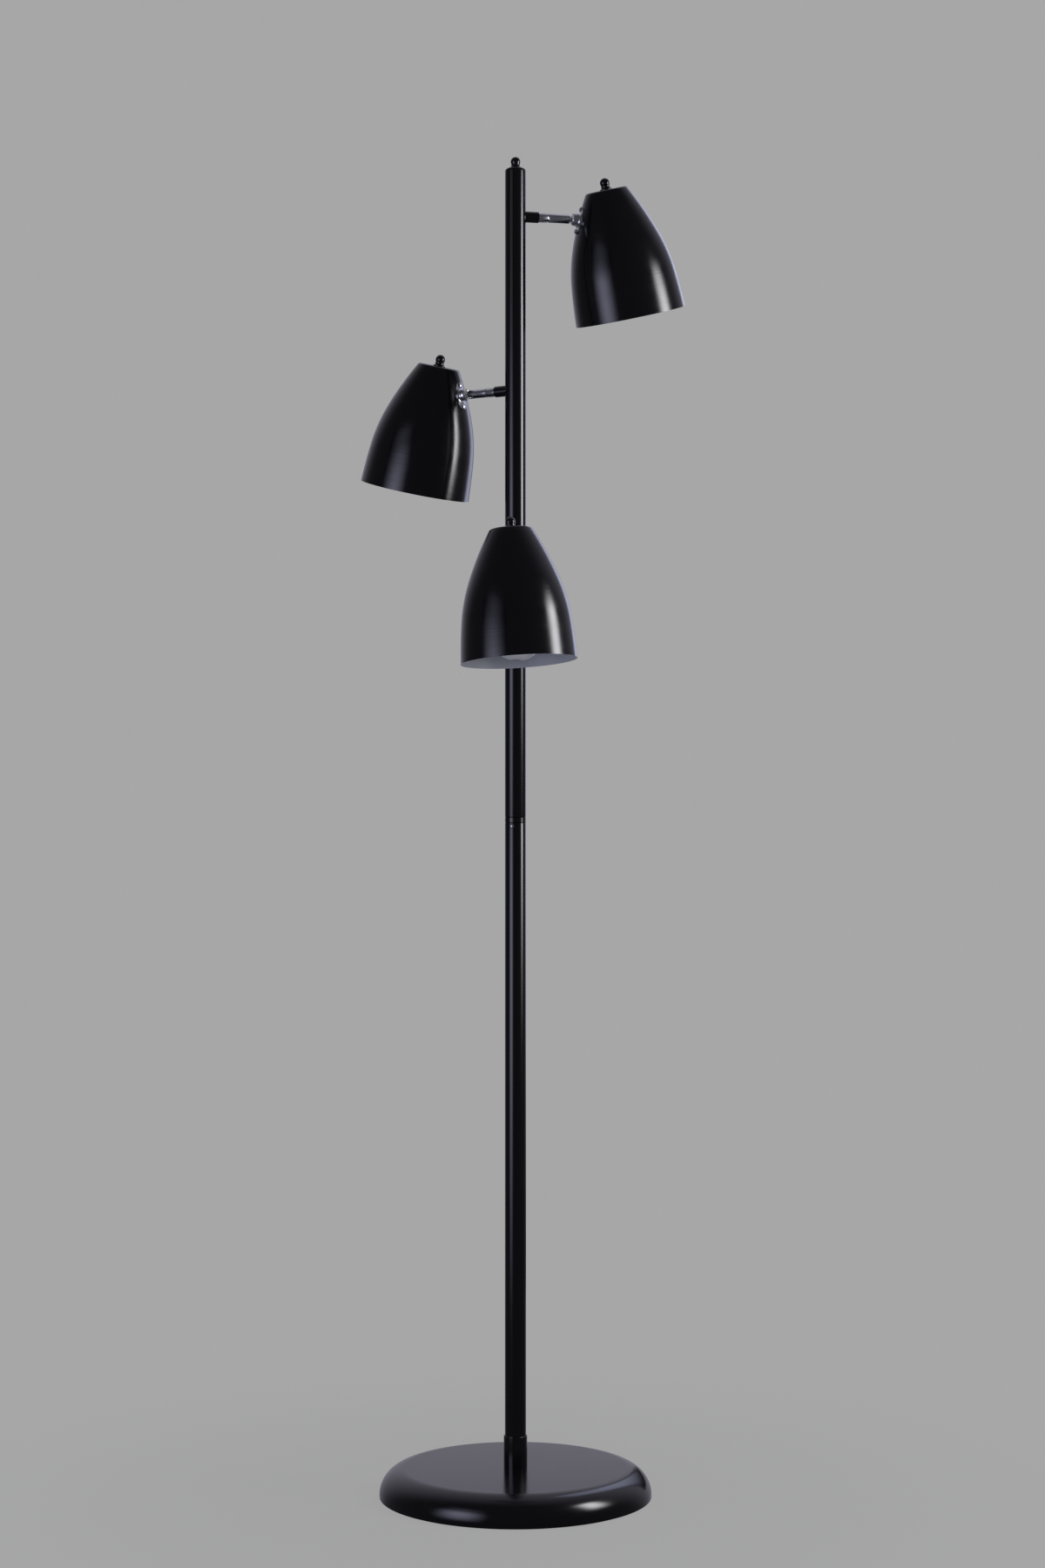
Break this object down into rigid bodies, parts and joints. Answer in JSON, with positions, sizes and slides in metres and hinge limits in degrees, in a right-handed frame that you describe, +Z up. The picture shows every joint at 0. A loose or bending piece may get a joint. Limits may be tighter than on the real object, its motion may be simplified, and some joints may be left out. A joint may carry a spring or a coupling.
{
  "type": "floor lamp",
  "caption": "Black floor lamp with a round weighted base, a slim pole and chrome arms that carry aimable bell-shaped metal shades on ball joints.",
  "frame": {"origin": "on the pole's axis at the floor, in the middle of the base's underside", "axes": "+Z up along the pole; -Y is the side that faces the picture's camera and the lower shade; +X is to the right in the picture, where the upper shade is"},
  "size_m": [0.3453, 0.3126, 1.3967],
  "materials": {
    "black_paint": "gloss",
    "shade_paint": "gloss",
    "chrome": "polished",
    "zinc_steel": "satin",
    "cast_iron": "matte",
    "eva_pad": "matte",
    "rubber": "matte",
    "nylon": "matte",
    "phenolic": "matte",
    "brass": "satin",
    "bulb_metal": "satin",
    "bulb_glass": "satin"
  },
  "bodies": {
    "stand": {"base_cover": "black_paint", "base_weight": "cast_iron", "base_pad": "eva_pad", "cord_grommet": "rubber", "base_nipple": "zinc_steel", "base_fasteners": "zinc_steel", "base_collar": "black_paint", "tube_insert": "zinc_steel", "lower_tube": "black_paint", "pole_coupler": "black_paint", "coupler_screw": "chrome", "upper_tube": "black_paint", "pole_cap": "black_paint", "pole_finial": "black_paint", "pole_stud": "zinc_steel", "arm_sleeves": "black_paint", "arm_locknuts": "zinc_steel"},
    "upper_arm": {"upper_arm_tube": "chrome", "upper_ball_stud": "chrome"},
    "upper_liner": {"upper_ball_liner": "nylon"},
    "upper_head": {"upper_shade": "shade_paint", "upper_bracket": "chrome", "upper_ball_seat": "nylon", "upper_bracket_screws": "chrome", "upper_backing_plate": "zinc_steel", "upper_finial": "black_paint", "upper_stud": "zinc_steel", "upper_lampholder": "phenolic", "upper_holder_contacts": "brass", "upper_bulb_cap": "bulb_metal", "upper_bulb_glass": "bulb_glass"},
    "middle_arm": {"middle_arm_tube": "chrome", "middle_ball_stud": "chrome"},
    "middle_liner": {"middle_ball_liner": "nylon"},
    "middle_head": {"middle_shade": "shade_paint", "middle_bracket": "chrome", "middle_ball_seat": "nylon", "middle_bracket_screws": "chrome", "middle_backing_plate": "zinc_steel", "middle_finial": "black_paint", "middle_stud": "zinc_steel", "middle_lampholder": "phenolic", "middle_holder_contacts": "brass", "middle_bulb_cap": "bulb_metal", "middle_bulb_glass": "bulb_glass"},
    "lower_arm": {"lower_arm_tube": "chrome", "lower_ball_stud": "chrome"},
    "lower_liner": {"lower_ball_liner": "nylon"},
    "lower_head": {"lower_shade": "shade_paint", "lower_bracket": "chrome", "lower_ball_seat": "nylon", "lower_bracket_screws": "chrome", "lower_backing_plate": "zinc_steel", "lower_finial": "black_paint", "lower_stud": "zinc_steel", "lower_lampholder": "phenolic", "lower_holder_contacts": "brass", "lower_bulb_cap": "bulb_metal", "lower_bulb_glass": "bulb_glass"}
  },
  "joints": [
    {"name": "upper_arm_swivel", "type": "hinge", "parent": "stand", "child": "upper_arm", "pos_m": [0.06276, 0.01612, 1.3343], "axis": [0.9686, 0.2487, 0], "range_deg": [-98.9, 81.1]},
    {"name": "upper_ball_pan", "type": "hinge", "parent": "upper_arm", "child": "upper_liner", "pos_m": [0.06276, 0.01612, 1.3343], "axis": [0.0385, -0.1498, 0.988], "range_deg": [-15, 15]},
    {"name": "upper_shade_tilt", "type": "hinge", "parent": "upper_liner", "child": "upper_head", "pos_m": [0.06276, 0.01612, 1.3343], "axis": [0.2457, -0.9569, -0.1547], "range_deg": [-14.1, 33.9]},
    {"name": "middle_arm_swivel", "type": "hinge", "parent": "stand", "child": "middle_arm", "pos_m": [-0.05422, 0.03548, 1.1523], "axis": [-0.8368, 0.5476, 0], "range_deg": [-87.7, 92.3]},
    {"name": "middle_ball_pan", "type": "hinge", "parent": "middle_arm", "child": "middle_liner", "pos_m": [-0.05422, 0.03548, 1.1523], "axis": [-0.022, -0.0336, 0.9992], "range_deg": [-15, 15]},
    {"name": "middle_shade_tilt", "type": "hinge", "parent": "middle_liner", "child": "middle_head", "pos_m": [-0.05422, 0.03548, 1.1523], "axis": [0.5471, 0.8361, 0.0401], "range_deg": [-15.2, 32.8]},
    {"name": "lower_arm_swivel", "type": "hinge", "parent": "stand", "child": "lower_arm", "pos_m": [-0.00181, -0.06477, 0.9703], "axis": [-0.0279, -0.9996, 0], "range_deg": [-93.7, 86.3]},
    {"name": "lower_ball_pan", "type": "hinge", "parent": "lower_arm", "child": "lower_liner", "pos_m": [-0.00181, -0.06477, 0.9703], "axis": [-0.0645, 0.0018, 0.9979], "range_deg": [-15, 15]},
    {"name": "lower_shade_tilt", "type": "hinge", "parent": "lower_liner", "child": "lower_head", "pos_m": [-0.00181, -0.06477, 0.9703], "axis": [-0.9975, 0.0279, -0.0645], "range_deg": [-3.2, 44.8]}
  ]
}
